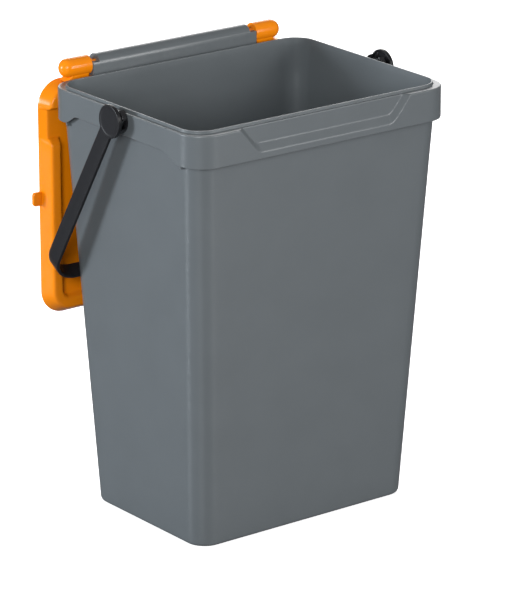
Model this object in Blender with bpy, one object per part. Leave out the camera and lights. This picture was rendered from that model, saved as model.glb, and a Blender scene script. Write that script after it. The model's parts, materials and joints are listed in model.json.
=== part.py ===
"""Kerbside waste bin: a tapered moulded tub, a lid that hangs from a rear hinge bar, and a bail handle.

The frame is metres, +Z up, with the front of the tub towards -Y and the origin at the centre of its base.
Driving dimensions are in millimetres. The lid hangs open behind the tub and the handle leans on its rear
wall. Both turn about X: the lid on two pins in the ends of the hinge bar, and the handle on two pins
through bosses on the side skirts, each with a slotted collar round it.
"""

import math

import bmesh
import bpy
from mathutils import Matrix, Vector

MM = 0.001
GAP = 0.3
OVERCUT = 1.0  # how far a cutter runs on past the face it opens

# Tub
HEIGHT = 490.0
BASE_WIDTH = 296.0
BASE_DEPTH = 206.0
RIM_WIDTH = 354.0
RIM_DEPTH = 277.0
RIM_RADIUS = 30.0
BASE_EDGE = 5.0
WALL = 2.6
FLOOR = 3.0
LIP = 2.0
LIP_RISE = 3.0
LIP_INSET_SIDE = 5.6
LIP_INSET_END = 9.4
LIP_RADIUS = 27.0
WALL_RADIUS = 24.0
WALL_INSET_SIDE = 7.0
WALL_INSET_END = 8.6
SKIRT = 2.4
SKIRT_HEIGHT = 37.0
LEDGE = 2.5
RIM_CHAMFER = 1.0

# Raised lower edge of the skirt on each side, between two slopes
SIDE_RISE = 11.0
SIDE_RISE_FLAT = 77.0
SIDE_RISE_END = 103.0
GUSSET = 2.5
GUSSET_DROP = 4.0

# Finger recess in the front skirt, a trapezium that is open at the top
RECESS_TOP = 118.0
RECESS_BOTTOM = 93.0
RECESS_DROP = 29.5
RECESS_DEPTH = 6.0
RECESS_SIDE_BEVEL = 6.5
RECESS_LOW_BEVEL = 9.0

# Hinge: a bar behind the rim, and the pins in its ends
LID_CREST = 8.5
LID_TO_RIM = 1.0
HINGE_BACK = LID_CREST + LID_TO_RIM
HINGE_RISE = 8.0
BAR_RADIUS = 11.0
BAR_BITE = 1.5
BAR_HALF = 115.0
BAR_WEB_DROP = 12.5
BAR_WEB_BACK = 1.5
PIN_RADIUS = 5.0
PIN_IN_BAR = 13.0
PIN_IN_KNUCKLE = 20.0
NOTCH_LENGTH = 9.0
NOTCH_FLOOR = 3.5
KNUCKLE_LENGTH = 37.5
KNUCKLE_RADIUS = 11.0
HINGE_GAP = 0.5

# Lid
LID_WALL = 2.5
LID_REAR = 12.5
LID_REAR_RELIEF = 2.0
LID_OVERHANG = 1.5
LID_CREST_INSET = 7.0
LID_CREST_FRONT_INSET = 10.0
LID_CREST_WIDTH = 11.0
LID_PANEL_SLOPE = 4.0
LID_NOTCH = (44.0, 77.0)
LID_NOTCH_SLOPE = 2.0
LUG_HALF = 8.0
LUG_THICKNESS = 4.0
LUG_REACH = 9.8

# Handle and its pivots
PIVOT_DROP = 12.0
PIVOT_Y = 0.0
HANDLE_LENGTH = 247.0
HANDLE_STANDOFF = 10.5
STRAP = 4.0
STRAP_WIDTH = 20.0
GRIP_DEPTH = 19.0
GRIP_CLEARANCE = 0.6
LID_TO_GRIP = 1.0
HANDLE_BEND = 30.0
HUB_RADIUS = 18.8
HUB_PROUD = 0.5
PIVOT_PIN = 3.6
PIVOT_HEAD = 5.5
PIVOT_HEAD_LENGTH = 1.2
PIVOT_BLIND = 2.6
BOSS_RADIUS = 9.0
BOSS_LENGTH = 6.8
COLLAR_RADIUS = 15.5
COLLAR_LENGTH = 7.0
COLLAR_FLANGE = 1.3
COLLAR_WINDOW = (-7.5, 2.5)

ARC_STEPS = 6
ROUND_STEPS = 32
STATION_STEP = 0.4

LEDGE_Z = HEIGHT - LIP_RISE
LEDGE_UNDER_Z = LEDGE_Z - LEDGE
SKIRT_Z = LEDGE_Z - SKIRT_HEIGHT
RIM_REAR = RIM_DEPTH / 2
HINGE_Y = RIM_REAR + HINGE_BACK
HINGE_Z = HEIGHT + HINGE_RISE
PIVOT_Z = HEIGHT - PIVOT_DROP
ARM_X = RIM_WIDTH / 2 + HANDLE_STANDOFF
SKIRT_INNER_X = RIM_WIDTH / 2 - SKIRT
LID_SEAT = HINGE_Z - LEDGE_Z - GAP
LUG_LOW = max(-LID_SEAT, PIVOT_Z + BOSS_RADIUS + GAP - HINGE_Z)
LID_FRONT = HINGE_Y + RIM_REAR + LID_OVERHANG


def material(name, colour, roughness):
    made = bpy.data.materials.new(name)
    made.use_nodes = True
    shader = made.node_tree.nodes["Principled BSDF"]
    shader.inputs["Base Color"].default_value = (*colour, 1.0)
    shader.inputs["Roughness"].default_value = roughness
    shader.inputs["Metallic"].default_value = 0.0
    return made


def to_object(name, mesh_data, place=(0.0, 0.0, 0.0), turn=0.0, finish=None):
    """Makes an object from a bmesh in millimetres, placed in millimetres and turned about X."""
    bmesh.ops.scale(mesh_data, vec=(MM, MM, MM), verts=mesh_data.verts)
    bmesh.ops.recalc_face_normals(mesh_data, faces=mesh_data.faces)
    mesh = bpy.data.meshes.new(name)
    mesh_data.to_mesh(mesh)
    mesh_data.free()
    mesh.shade_smooth()
    mesh.set_sharp_from_angle(angle=math.radians(35.0))
    made = bpy.data.objects.new(name, mesh)
    made.location = Vector(place) * MM
    made.rotation_euler.x = turn
    bpy.context.scene.collection.objects.link(made)
    if finish:
        mesh.materials.append(finish)
    return made


def combine(target, tool, operation):
    """Joins or cuts the target with a tool object, which is kept out of the model."""
    tool.hide_render = True
    tool.display_type = "WIRE"
    step = target.modifiers.new(tool.name, "BOOLEAN")
    step.operation = operation
    step.solver = "EXACT"
    step.object = tool


def within(stations, low, high):
    """Stations in rising order, moved just inside a straight run where they would pass its ends."""
    placed = []
    for index, station in enumerate(stations):
        first = low + STATION_STEP * (index + 1)
        last = high - STATION_STEP * (len(stations) - index)
        placed.append(min(max(station, first), last))
    return placed


def outline(half_x, low_y, high_y, radius, side_stations, end_stations):
    """Points of a rounded rectangle, anticlockwise from the front right, with stations on its sides.

    Each side station is a Y and each end station is an X, so that every ring has the same columns.
    """
    side_stations = within(side_stations, low_y + radius, high_y - radius)
    end_stations = within(end_stations, radius - half_x, half_x - radius)
    corners = (
        (half_x - radius, low_y + radius, -90.0),
        (half_x - radius, high_y - radius, 0.0),
        (radius - half_x, high_y - radius, 90.0),
        (radius - half_x, low_y + radius, 180.0),
    )
    runs = (
        [(half_x, y) for y in side_stations],
        [(x, high_y) for x in reversed(end_stations)],
        [(-half_x, y) for y in reversed(side_stations)],
        [(x, low_y) for x in end_stations],
    )
    points = []
    for (centre_x, centre_y, start), run in zip(corners, runs):
        for step in range(ARC_STEPS + 1):
            angle = math.radians(start + 90.0 * step / ARC_STEPS)
            points.append((centre_x + radius * math.cos(angle), centre_y + radius * math.sin(angle)))
        points += run
    return points


def loft(rings):
    """A closed body through rings of points, capped at its first and last ring."""
    body = bmesh.new()
    loops = [[body.verts.new(point) for point in ring] for ring in rings]
    for lower, upper in zip(loops, loops[1:]):
        for index in range(len(lower)):
            following = (index + 1) % len(lower)
            body.faces.new((lower[index], lower[following], upper[following], upper[index]))
    body.faces.new(reversed(loops[0]))
    body.faces.new(loops[-1])
    return body


def prism(points, axis, low, high):
    """A polygon extruded along X or Y. Its points are (Y, Z) for X and (X, Z) for Y."""
    def place(point, along):
        return (along, point[0], point[1]) if axis == "X" else (point[0], along, point[1])

    return loft([[place(point, along) for point in points] for along in (low, high)])


def turned(profile, steps=ROUND_STEPS):
    """A solid turned about X through (X, radius) stations, closed by flat ends or by points on the axis."""
    body = bmesh.new()
    loops = []
    for along, radius in profile:
        if radius == 0.0:
            loops.append([body.verts.new((along, 0.0, 0.0))])
            continue
        angles = [math.tau * step / steps for step in range(steps)]
        loops.append([body.verts.new((along, radius * math.cos(a), radius * math.sin(a))) for a in angles])
    for first, second in zip(loops, loops[1:]):
        for step in range(steps):
            after = (step + 1) % steps
            if len(first) == 1:
                body.faces.new((first[0], second[after], second[step]))
            elif len(second) == 1:
                body.faces.new((first[step], first[after], second[0]))
            else:
                body.faces.new((first[step], first[after], second[after], second[step]))
    for loop in (loops[0], loops[-1]):
        if len(loop) > 1:
            body.faces.new(loop)
    return body


def mix(low, high, share):
    return low + (high - low) * share


def wall_half_depth(z):
    """Outer half depth of the tapered wall at a height below the skirt."""
    return mix(BASE_DEPTH / 2, RIM_REAR - WALL_INSET_END, z / SKIRT_Z)


def wall_half_width(z):
    """Outer half width of the tapered wall, which leans a little more inside the channel of the rim."""
    shoulder = RIM_WIDTH / 2 - WALL_INSET_SIDE
    if z <= SKIRT_Z:
        return mix(BASE_WIDTH / 2, shoulder, z / SKIRT_Z)
    return mix(shoulder, RIM_WIDTH / 2 - LIP_INSET_SIDE, (z - SKIRT_Z) / (HEIGHT - SKIRT_Z))


def skirt_edge(x, y):
    """Height of the skirt's lower edge: raised along the middle of each side."""
    if abs(x) < SKIRT_INNER_X - 1.0:
        return SKIRT_Z
    share = (SIDE_RISE_END - abs(y)) / (SIDE_RISE_END - SIDE_RISE_FLAT)
    return SKIRT_Z + SIDE_RISE * min(max(share, 0.0), 1.0)


def tub_ring(half_x, half_y, radius, height):
    """One ring of the tub. The height is a number, or a function of X and Y."""
    sides = (-SIDE_RISE_END, -SIDE_RISE_FLAT, SIDE_RISE_FLAT, SIDE_RISE_END)
    points = outline(half_x, -half_y, half_y, radius, sides, ())
    return [(x, y, height(x, y) if callable(height) else height) for x, y in points]


def tub_shell():
    """The tub's wall, floor, lip, ledge and skirt as one loft, from under the base round to its floor."""
    base_x, base_y = BASE_WIDTH / 2, BASE_DEPTH / 2
    rim_x, rim_y = RIM_WIDTH / 2, RIM_REAR
    lip_x, lip_y = rim_x - LIP_INSET_SIDE, rim_y - LIP_INSET_END
    shoulder_x, shoulder_y = wall_half_width(SKIRT_Z), wall_half_depth(SKIRT_Z)
    under = (LEDGE_UNDER_Z - SKIRT_Z) / (HEIGHT - SKIRT_Z)
    under_x, under_y = wall_half_width(LEDGE_UNDER_Z), mix(shoulder_y, lip_y, under)
    inner = WALL_RADIUS - WALL
    edge = BASE_EDGE * (1.0 - math.cos(math.radians(45.0)))
    rings = [
        tub_ring(base_x - BASE_EDGE, base_y - BASE_EDGE, WALL_RADIUS - BASE_EDGE, 0.0),
        tub_ring(base_x - edge, base_y - edge, WALL_RADIUS - edge, edge),
        tub_ring(wall_half_width(BASE_EDGE), wall_half_depth(BASE_EDGE), WALL_RADIUS, BASE_EDGE),
        tub_ring(shoulder_x, shoulder_y, WALL_RADIUS, SKIRT_Z),
        tub_ring(under_x, under_y, WALL_RADIUS, LEDGE_UNDER_Z),
        tub_ring(rim_x - SKIRT, rim_y - SKIRT, RIM_RADIUS - SKIRT, LEDGE_UNDER_Z),
        tub_ring(rim_x - SKIRT, rim_y - SKIRT, RIM_RADIUS - SKIRT, skirt_edge),
        tub_ring(rim_x, rim_y, RIM_RADIUS, skirt_edge),
        tub_ring(rim_x, rim_y, RIM_RADIUS, LEDGE_Z - RIM_CHAMFER),
        tub_ring(rim_x - RIM_CHAMFER, rim_y - RIM_CHAMFER, RIM_RADIUS - RIM_CHAMFER, LEDGE_Z),
        tub_ring(lip_x, lip_y, LIP_RADIUS, LEDGE_Z),
        tub_ring(lip_x, lip_y, LIP_RADIUS, HEIGHT),
        tub_ring(lip_x - LIP, lip_y - LIP, LIP_RADIUS - LIP, HEIGHT),
        tub_ring(shoulder_x - WALL, shoulder_y - WALL, inner, SKIRT_Z),
        tub_ring(base_x - WALL, base_y - WALL, inner, FLOOR + BASE_EDGE),
        tub_ring(base_x - WALL - BASE_EDGE, base_y - WALL - BASE_EDGE, inner - BASE_EDGE, FLOOR),
    ]
    return loft(rings)


def bar_profile():
    """Section of the hinge bar: round about the hinge axis, with a flat front and a web to the rim."""
    web_z = HINGE_Z - BAR_WEB_DROP
    front_y = min(HINGE_Y - BAR_RADIUS, RIM_REAR - BAR_BITE)
    points = [(front_y, web_z)]
    for step in range(3 * ARC_STEPS + 1):
        angle = mix(math.pi, -math.pi / 2, step / (3 * ARC_STEPS))
        points.append((HINGE_Y + BAR_RADIUS * math.cos(angle), HINGE_Z + BAR_RADIUS * math.sin(angle)))
    points.append((HINGE_Y - BAR_WEB_BACK, web_z))
    return points


def recess_section(y, side_grow, low_grow, top):
    """The recess's trapezium at a depth Y, with its sloping sides and its lower edge moved outwards."""
    slope = (RECESS_TOP - RECESS_BOTTOM) / RECESS_DROP
    low = LEDGE_Z - RECESS_DROP - low_grow
    half_low, half_top = (RECESS_TOP + side_grow + slope * (z - LEDGE_Z) for z in (low, top))
    return [(-half_low, y, low), (half_low, y, low), (half_top, y, top), (-half_top, y, top)]


def tub(finish):
    """The tub with its gussets, front recess, hinge bar and the holes for both pairs of pins."""
    made = to_object("tub", tub_shell(), finish=finish)
    join_recess(made)
    join_hinge_bar(made)
    for side in (-1.0, 1.0):
        for end in (-1.0, 1.0):
            join_gusset(made, side, end)
        join_boss(made, side)
        cut_bar_end(made, side)
    return made


def join_recess(made):
    """Backs the front recess with a wall of the skirt's thickness, then cuts it, open through the ledge."""
    front = -RIM_REAR
    floor_y = front + RECESS_DEPTH
    wall_y = -(RIM_REAR - LIP_INSET_END) + LIP / 2
    under = LEDGE_Z - LEDGE / 2
    backing = loft([recess_section(y, SKIRT, SKIRT, under) for y in (front + SKIRT / 2, wall_y)])
    combine(made, to_object("recess_backing", backing), "UNION")
    outside = RECESS_DEPTH / 3
    cutter = loft([
        recess_section(front - outside, RECESS_SIDE_BEVEL / 3, RECESS_LOW_BEVEL / 3, HEIGHT),
        recess_section(floor_y, -RECESS_SIDE_BEVEL, -RECESS_LOW_BEVEL, HEIGHT),
    ])
    combine(made, to_object("recess_cutter", cutter), "DIFFERENCE")


def join_hinge_bar(made):
    bar = prism(bar_profile(), "X", -BAR_HALF, BAR_HALF)
    combine(made, to_object("hinge_bar", bar), "UNION")


def join_gusset(made, side, end):
    """A rib in the channel between the wall and the skirt, where the skirt's edge steps down."""
    low, high = SKIRT_Z - GUSSET_DROP, LEDGE_UNDER_Z + LEDGE / 2
    bite = WALL / 2
    outer = SKIRT_INNER_X + SKIRT / 2
    points = [
        (side * (wall_half_width(low) - bite), low),
        (side * (SKIRT_INNER_X - 0.2), low),
        (side * (SKIRT_INNER_X - 0.2), SKIRT_Z + 1.0),
        (side * outer, SKIRT_Z + 1.0),
        (side * outer, high),
        (side * (wall_half_width(high) - LIP / 2), high),
        (side * (wall_half_width(SKIRT_Z) - bite), SKIRT_Z),
    ]
    middle = end * (SIDE_RISE_END + GUSSET)
    rib = prism(points, "Y", middle - GUSSET / 2, middle + GUSSET / 2)
    combine(made, to_object(f"gusset_{side:+.0f}_{end:+.0f}", rib), "UNION")


def join_boss(made, side):
    """The boss on the side skirt that the handle turns on, bored for its pivot pin."""
    place = (0.0, PIVOT_Y, PIVOT_Z)
    start, end = RIM_WIDTH / 2 - SKIRT / 2, RIM_WIDTH / 2 + BOSS_LENGTH
    boss = turned([(side * start, BOSS_RADIUS), (side * end, BOSS_RADIUS)])
    combine(made, to_object(f"boss_{side:+.0f}", boss, place), "UNION")
    start, end = SKIRT_INNER_X - SKIRT / 3, end + OVERCUT
    bore = turned([(side * start, PIVOT_PIN + GAP), (side * end, PIVOT_PIN + GAP)])
    combine(made, to_object(f"boss_bore_{side:+.0f}", bore, place), "DIFFERENCE")


def cut_bar_end(made, side):
    """The blind bore for a hinge pin, and the notch that opens it at the top of the bar's end."""
    inner, outer = BAR_HALF - PIN_IN_BAR - GAP, BAR_HALF + OVERCUT
    bore = turned([(side * inner, PIN_RADIUS + GAP), (side * outer, PIN_RADIUS + GAP)])
    place = (0.0, HINGE_Y, HINGE_Z)
    combine(made, to_object(f"pin_bore_{side:+.0f}", bore, place), "DIFFERENCE")
    reach = BAR_RADIUS + 2 * OVERCUT
    section = [(-reach, NOTCH_FLOOR), (reach, NOTCH_FLOOR), (reach, reach), (-reach, reach)]
    notch = prism(section, "X", side * (BAR_HALF - NOTCH_LENGTH), side * outer)
    combine(made, to_object(f"bar_notch_{side:+.0f}", notch, place), "DIFFERENCE")


def lid_ring(inset, front_inset, height, dips):
    """One ring of the lid, closed and seen from above, about the hinge axis.

    The rear edge steps forward between the knuckles, clear of the hinge bar. A ring that dips falls to
    the panel's level at the notch on each side.
    """
    half_x = RIM_WIDTH / 2 - inset
    low_y, high_y = front_inset - LID_FRONT, -LID_REAR - inset
    radius = max(RIM_RADIUS - inset, 8.0)
    near, far = LID_NOTCH
    slope = LID_NOTCH_SLOPE
    sides = (-(LID_FRONT + LID_REAR) / 2, -far - slope, -far, -near, slope - near)
    step_x = BAR_HALF + 2.0
    ends = (-step_x, -step_x + 3.0, 0.0, step_x - 3.0, step_x)
    points = []
    for x, y in outline(half_x, low_y, high_y, radius, sides, ends):
        if abs(x) < step_x - 1.0 and y > high_y - 1.0:
            y -= LID_REAR_RELIEF
        inside_notch = abs(x) > half_x - 1.0 and -far - 0.5 < y < -near + 0.5
        points.append((x, y, height - LID_CREST if dips and inside_notch else height))
    return points


def lid_shell():
    """A shallow tray: a sloped outer wall, a raised border and a sunken panel, all one wall thick."""
    width, drop = LID_CREST_WIDTH, LID_PANEL_SLOPE
    outer, front = LID_CREST_INSET, LID_CREST_FRONT_INSET
    wall = LID_WALL
    rings = [
        lid_ring(outer + width + drop + wall, front + width + drop + wall, -wall, False),
        lid_ring(outer + width - wall / 2, front + width - wall / 2, LID_CREST - wall, True),
        lid_ring(outer + wall, front + wall, LID_CREST - wall, True),
        lid_ring(wall, wall, -LID_SEAT, False),
        lid_ring(0.0, 0.0, -LID_SEAT, False),
        lid_ring(outer - 1.0, front - 1.5, LID_CREST - 1.5, True),
        lid_ring(outer + 0.8, front + 0.8, LID_CREST, True),
        lid_ring(outer + width, front + width, LID_CREST, True),
        lid_ring(outer + width + drop, front + width + drop, 0.0, False),
    ]
    return loft(rings)


def lid(finish):
    """The lid, made closed about the hinge axis, then hung by a quarter turn about X."""
    place, turn = (0.0, HINGE_Y, HINGE_Z), math.pi / 2
    made = to_object("lid", lid_shell(), place, turn, finish)
    for side in (-1.0, 1.0):
        join_knuckle(made, side, place, turn)
        join_lug(made, side, place, turn)
    return made


def join_knuckle(made, side, place, turn):
    """A knuckle with a domed outer end, its neck down to the lid, and the bore for the hinge pin."""
    start = BAR_HALF + HINGE_GAP
    shoulder = start + KNUCKLE_LENGTH - KNUCKLE_RADIUS
    profile = [(side * start, KNUCKLE_RADIUS)]
    for step in range(ARC_STEPS + 1):
        angle = math.pi / 2 * step / ARC_STEPS
        radius = KNUCKLE_RADIUS * math.cos(angle) if step < ARC_STEPS else 0.0
        profile.append((side * (shoulder + KNUCKLE_RADIUS * math.sin(angle)), radius))
    combine(made, to_object(f"knuckle_{side:+.0f}", turned(profile), place, turn), "UNION")
    low, high = -LID_SEAT + 1.5, LID_CREST - 1.5
    into_wall = LID_REAR + LID_WALL - 0.5
    section = [(-into_wall, low), (-4.0, low), (-4.0, high), (-into_wall, high)]
    neck = prism(section, "X", side * (start + 2.0), side * (shoulder + 2.0))
    combine(made, to_object(f"neck_{side:+.0f}", neck, place, turn), "UNION")
    bore = turned([
        (side * (start - OVERCUT), PIN_RADIUS + GAP),
        (side * (start + PIN_IN_KNUCKLE + GAP), PIN_RADIUS + GAP),
    ])
    combine(made, to_object(f"knuckle_bore_{side:+.0f}", bore, place, turn), "DIFFERENCE")


def join_lug(made, side, place, turn):
    """A lug on the lid's side edge that comes down in the slot of the collar when the lid is closed."""
    middle = PIVOT_Y - HINGE_Y
    low, high = LUG_LOW, LUG_LOW + LUG_THICKNESS
    inner, outer = RIM_WIDTH / 2 - LID_WALL / 2, RIM_WIDTH / 2 + LUG_REACH
    section = [(side * inner, low), (side * outer, low), (side * outer, high), (side * inner, high)]
    lug = prism(section, "Y", middle - LUG_HALF, middle + LUG_HALF)
    combine(made, to_object(f"lug_{side:+.0f}", lug, place, turn), "UNION")


def grip_rest():
    """The handle's rest angle from straight down, and its grip depth.

    The grip lies on the rear wall and leaves room for the hanging lid, so both follow from the wall's
    slope at the grip's height and from the lid's raised border.
    """
    lid_face = HINGE_Y - LID_CREST

    def reach_and_gap(angle):
        wall_y = wall_half_depth(PIVOT_Z - HANDLE_LENGTH * math.cos(angle))
        room = (lid_face - LID_TO_GRIP - wall_y - GRIP_CLEARANCE) / 2
        full = (GRIP_DEPTH * math.cos(angle) + STRAP * math.sin(angle)) / 2
        reach = min(full, room)
        return reach, PIVOT_Y + HANDLE_LENGTH * math.sin(angle) - wall_y - GRIP_CLEARANCE - reach

    low, high = math.radians(5.0), math.radians(80.0)
    for _ in range(40):
        middle = (low + high) / 2
        if reach_and_gap(middle)[1] > 0.0:
            high = middle
        else:
            low = middle
    reach = reach_and_gap(middle)[0]
    return middle, (2.0 * reach - STRAP * math.sin(middle)) / math.cos(middle)


def strap_stations(grip_depth):
    """Stations along the bent strap: the centre line's X and Z, its outward normal and its width."""
    half = ARM_X + STRAP / 2
    bend = HANDLE_BEND
    top, low = 0.0, -HANDLE_LENGTH
    stations = [(half, top, (1.0, 0.0), STRAP_WIDTH)]
    for step in range(2 * ARC_STEPS + 1):
        angle = math.pi / 2 * step / (2 * ARC_STEPS)
        normal = (math.cos(angle), -math.sin(angle))
        centre_x, centre_z = half - bend, low + bend
        width = mix(STRAP_WIDTH, grip_depth, (1 + step) / (2 * ARC_STEPS + 1))
        stations.append((centre_x + bend * normal[0], centre_z + bend * normal[1], normal, width))
    mirrored = [(-x, z, (-normal[0], normal[1]), width) for x, z, normal, width in reversed(stations)]
    return stations + mirrored


def handle(finish):
    """The bail: one strap bent round from hub to hub, leaning back from its pivots."""
    angle, grip_depth = grip_rest()
    rings = []
    for x, z, normal, width in strap_stations(grip_depth):
        ring = []
        for out, across in ((1, 1), (1, -1), (-1, -1), (-1, 1)):
            shift = out * STRAP / 2
            ring.append((x + shift * normal[0], across * width / 2, z + shift * normal[1]))
        rings.append(ring)
    place = (0.0, PIVOT_Y, PIVOT_Z)
    made = to_object("handle", loft(rings), place, angle, finish)
    for side in (-1.0, 1.0):
        hub = turned([
            (side * (ARM_X - 0.1), HUB_RADIUS),
            (side * (ARM_X + STRAP), HUB_RADIUS),
            (side * (ARM_X + STRAP + HUB_PROUD), HUB_RADIUS - 1.0),
        ])
        combine(made, to_object(f"hub_{side:+.0f}", hub, place, angle), "UNION")
        bore = turned([
            (side * (ARM_X - OVERCUT), PIVOT_PIN + GAP),
            (side * (ARM_X + PIVOT_BLIND + GAP), PIVOT_PIN + GAP),
        ])
        combine(made, to_object(f"hub_bore_{side:+.0f}", bore, place, angle), "DIFFERENCE")
    return made


def hinge_pin(side, name, finish):
    """A pin pressed in a knuckle of the lid that turns in the end of the hinge bar."""
    inner, outer = BAR_HALF - PIN_IN_BAR, BAR_HALF + HINGE_GAP + PIN_IN_KNUCKLE
    profile = [
        (side * inner, PIN_RADIUS - 1.0),
        (side * (inner + 1.0), PIN_RADIUS),
        (side * outer, PIN_RADIUS),
    ]
    return to_object(name, turned(profile), (0.0, HINGE_Y, HINGE_Z), math.pi / 2, finish)


def pivot_collar(side, name, finish):
    """A collar round a boss: a thin flange with claws, a slot on top for the lid's lug, and windows."""
    place = (0.0, PIVOT_Y, PIVOT_Z)
    face = RIM_WIDTH / 2 + GAP
    end = face + COLLAR_LENGTH
    ring = turned([(side * face, COLLAR_RADIUS), (side * end, COLLAR_RADIUS)])
    made = to_object(name, ring, place, finish=finish)
    bore = turned([(side * (face - OVERCUT), BOSS_RADIUS + GAP), (side * (end + OVERCUT), BOSS_RADIUS + GAP)])
    combine(made, to_object(f"{name}_bore", bore, place), "DIFFERENCE")
    reach = COLLAR_RADIUS + OVERCUT
    half, floor = LUG_HALF + 2 * GAP, HINGE_Z + LUG_LOW - PIVOT_Z - 2 * GAP
    section = [(-half, floor), (half, floor), (half, reach), (-half, reach)]
    slot = prism(section, "X", side * (face - OVERCUT), side * (end + OVERCUT))
    combine(made, to_object(f"{name}_slot", slot, place), "DIFFERENCE")
    low, high = COLLAR_WINDOW
    section = [(-reach, low), (reach, low), (reach, high), (-reach, high)]
    window = prism(section, "X", side * (face + COLLAR_FLANGE), side * (end + OVERCUT))
    combine(made, to_object(f"{name}_window", window, place), "DIFFERENCE")
    return made


def pivot_pin(side, name, finish):
    """A headed pin from the channel behind the skirt, through the boss, pressed in the handle's hub."""
    head = SKIRT_INNER_X - GAP
    profile = [
        (side * (head - PIVOT_HEAD_LENGTH), PIVOT_HEAD),
        (side * head, PIVOT_HEAD),
        (side * head, PIVOT_PIN),
        (side * (ARM_X + PIVOT_BLIND), PIVOT_PIN),
    ]
    return to_object(name, turned(profile), (0.0, PIVOT_Y, PIVOT_Z), grip_rest()[0], finish)


def build():
    for old in list(bpy.data.objects):
        bpy.data.objects.remove(old)
    grey = material("grey_tub_plastic", (0.125, 0.140, 0.148), 0.42)
    orange = material("orange_lid_plastic", (0.90, 0.27, 0.02), 0.35)
    orange_pin = material("orange_pin_plastic", (0.90, 0.27, 0.02), 0.40)
    black = material("black_handle_plastic", (0.028, 0.028, 0.031), 0.38)
    black_collar = material("black_collar_plastic", (0.018, 0.018, 0.020), 0.22)
    black_pin = material("black_pin_plastic", (0.030, 0.030, 0.032), 0.35)
    tub(grey)
    lid(orange)
    handle(black)
    for side, word in ((-1.0, "left"), (1.0, "right")):
        hinge_pin(side, f"hinge_pin_{word}", orange_pin)
        pivot_collar(side, f"pivot_collar_{word}", black_collar)
        pivot_pin(side, f"pivot_pin_{word}", black_pin)


build()
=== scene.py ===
"""Looks of a kerbside waste bin, laid out as an add-on: a tapered tub, a hanging lid and a bail handle.

Sizes are in millimetres unless a name or a property says otherwise, and MM turns them into metres. The
axes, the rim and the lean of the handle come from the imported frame.
"""

import json
import math

import bmesh
import bpy
import numpy as np
from bpy.props import FloatProperty, FloatVectorProperty, IntProperty, PointerProperty
from mathutils import Matrix, Vector


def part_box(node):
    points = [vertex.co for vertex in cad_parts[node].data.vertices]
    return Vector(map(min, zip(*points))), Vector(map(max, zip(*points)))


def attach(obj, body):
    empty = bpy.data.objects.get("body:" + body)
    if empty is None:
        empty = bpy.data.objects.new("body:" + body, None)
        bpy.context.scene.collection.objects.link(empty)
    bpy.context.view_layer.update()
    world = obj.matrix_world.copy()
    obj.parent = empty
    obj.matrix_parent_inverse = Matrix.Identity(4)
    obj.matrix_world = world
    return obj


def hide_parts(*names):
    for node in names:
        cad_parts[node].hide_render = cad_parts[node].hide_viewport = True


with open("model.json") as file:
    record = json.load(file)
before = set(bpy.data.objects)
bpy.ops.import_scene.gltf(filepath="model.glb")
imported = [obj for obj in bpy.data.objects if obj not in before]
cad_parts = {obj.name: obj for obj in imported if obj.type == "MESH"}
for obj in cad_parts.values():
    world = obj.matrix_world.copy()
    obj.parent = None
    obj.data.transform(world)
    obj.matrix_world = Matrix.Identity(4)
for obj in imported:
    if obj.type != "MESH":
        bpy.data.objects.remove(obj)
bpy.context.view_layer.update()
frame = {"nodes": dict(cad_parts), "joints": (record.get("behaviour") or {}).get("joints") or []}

bl_info = {
    "name": "Kerbside Waste Bin",
    "version": (1, 0, 0),
    "blender": (4, 5, 0),
    "location": "View3D > Sidebar > Waste Bin",
    "description": "Builds a lidded waste bin with a bail handle round its packed frame",
    "category": "Add Mesh",
}

MM = 0.001
WELD = 0.004 * MM
GAP = 0.3


def joint_place(name):
    """A joint's place in the frame, in millimetres."""
    found = next(joint for joint in frame["joints"] if joint["name"] == name)
    return Vector(found["pos_m"]) / MM


HINGE = joint_place("lid_hinge")
PIVOT = joint_place("handle_swing")
TUB_LOW, TUB_HIGH = (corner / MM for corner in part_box("tub"))
COLLAR_LOW, COLLAR_HIGH = (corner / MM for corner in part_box("pivot_collar_right"))

# Tub
RIM_X = COLLAR_LOW.x - GAP
RIM_Y = -TUB_LOW.y
RIM_RADIUS = 30.0
HINGE_RISE = 8.0
HEIGHT = HINGE.z - HINGE_RISE
LEDGE_Z = HEIGHT - 3.0
LEDGE_THICK = 2.5
SKIRT_Z = LEDGE_Z - 37.0
SKIRT = 2.4
BASE_X, BASE_Y = 148.0, 103.0
WALL = 2.6
WALL_RADIUS = 24.0
FLOOR = 3.0
SHOULDER_X, SHOULDER_Y = RIM_X - 7.0, RIM_Y - 8.6
LIP_X, LIP_Y = RIM_X - 5.6, RIM_Y - 9.4
LIP_RADIUS = 27.0
LIP = 2.0
FOOT_WIDTH = 12.0
FOOT_RISE = 1.0
SIDE_RISE = 11.0
SIDE_RISE_FRONT = (77.0, 103.0)
SIDE_RISE_REAR = (86.0, 103.0)
GUSSET = 2.5
GUSSET_Y = 105.5
GUSSET_DROP = 4.0
RECESS_TOP = 118.0
RECESS_BOTTOM = 93.0
RECESS_DROP = 29.5
RECESS_SIDE_BEVEL = 6.5
RECESS_LOW_BEVEL = 9.0
BOSS_RADIUS = 9.0
BOSS_END = TUB_HIGH.x

# Hinge
BAR_RADIUS = 11.0
BAR_HALF = 115.0
BAR_WEB_DROP = 12.5
BAR_WEB_BACK = 1.5
BAR_NOTCH = 9.0
BAR_NOTCH_FLOOR = 3.5
PIN_RADIUS = 5.0
PIN_IN_BAR = 13.0
PIN_IN_KNUCKLE = 20.0
KNUCKLE_START = BAR_HALF + 0.5
KNUCKLE_LENGTH = 37.5
KNUCKLE_RADIUS = 11.0

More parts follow.
